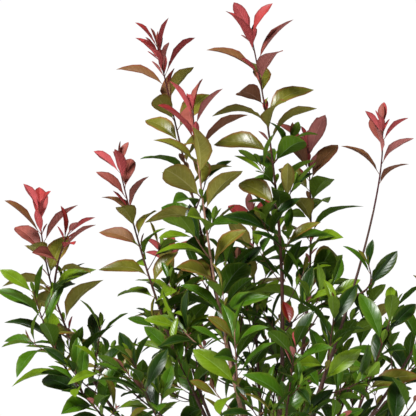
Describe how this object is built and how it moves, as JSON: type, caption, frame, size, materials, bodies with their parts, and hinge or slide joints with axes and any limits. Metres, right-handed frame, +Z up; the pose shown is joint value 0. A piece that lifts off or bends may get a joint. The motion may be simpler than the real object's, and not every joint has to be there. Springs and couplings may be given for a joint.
{
  "type": "photinia red robin shrub",
  "caption": "Bushy evergreen garden shrub: a short main stem with fanned leaders, glossy dark green leaves below and crimson young leaves at the shoot tips.",
  "frame": {"origin": "middle of the flat cut under the main stem, at ground level", "axes": "+Z up along the shrub, +X to the viewer's right, -Y towards the viewer"},
  "size_m": [0.9745, 0.8485, 1.1646],
  "materials": {
    "bark": "rough brown bark with fine lengthways cracks",
    "young_wood": "smooth dull red-brown young bark",
    "leaf_green": "glossy leathery leaf, paler and duller below",
    "leaf_red": "glossy young leaf, crimson turning bronze"
  },
  "bodies": {
    "root": {"bough_tall": "young_wood", "foliage_tall": "leaf_green", "tip_tall": "leaf_red", "shoot_inner_right": "leaf_green", "bough_upper_left": "young_wood", "foliage_upper_left": "leaf_green", "tip_upper_left": "leaf_red", "shoot_inner_back": "leaf_green", "bough_centre_left": "young_wood", "foliage_centre_left": "leaf_green", "tip_centre_left": "leaf_red", "shoot_inner_front": "leaf_green", "bough_centre_right": "young_wood", "foliage_centre_right": "leaf_green", "tip_centre_right": "leaf_red", "bough_right": "young_wood", "tip_right": "leaf_red", "shoot_right_whorl": "leaf_green", "shoot_front_right": "leaf_green", "bough_left": "young_wood", "foliage_left": "leaf_green", "tip_left": "leaf_red", "shoot_inner_left": "leaf_green", "bough_far_left": "young_wood", "foliage_far_left": "leaf_green", "tip_far_left": "leaf_red", "shoot_left_fork": "leaf_red", "shoot_left_low": "leaf_green", "shoot_front_left": "leaf_green", "shoot_low_left": "leaf_green", "shoot_low_front_left": "leaf_green", "bough_far_right": "young_wood", "foliage_far_right": "leaf_green", "tip_far_right": "leaf_red", "shoot_right_low": "leaf_green", "shoot_right_front": "leaf_green", "shoot_low_right": "leaf_green", "shoot_low_back_right": "leaf_green", "bough_back": "young_wood", "foliage_back": "leaf_green", "tip_back": "leaf_red", "shoot_rear_low": "leaf_green", "bough_back_left": "young_wood", "foliage_back_left": "leaf_green", "tip_back_left": "leaf_red", "shoot_rear_left_low": "leaf_green", "shoot_low_back_left": "leaf_green", "bough_back_right": "young_wood", "foliage_back_right": "leaf_green", "shoot_rear_right_low": "leaf_green", "shoot_low_back": "leaf_green", "bough_front": "young_wood", "foliage_front": "leaf_green", "shoot_low_front": "leaf_green", "shoot_low_front_right": "leaf_green", "trunk": "bark"}
  },
  "joints": []
}
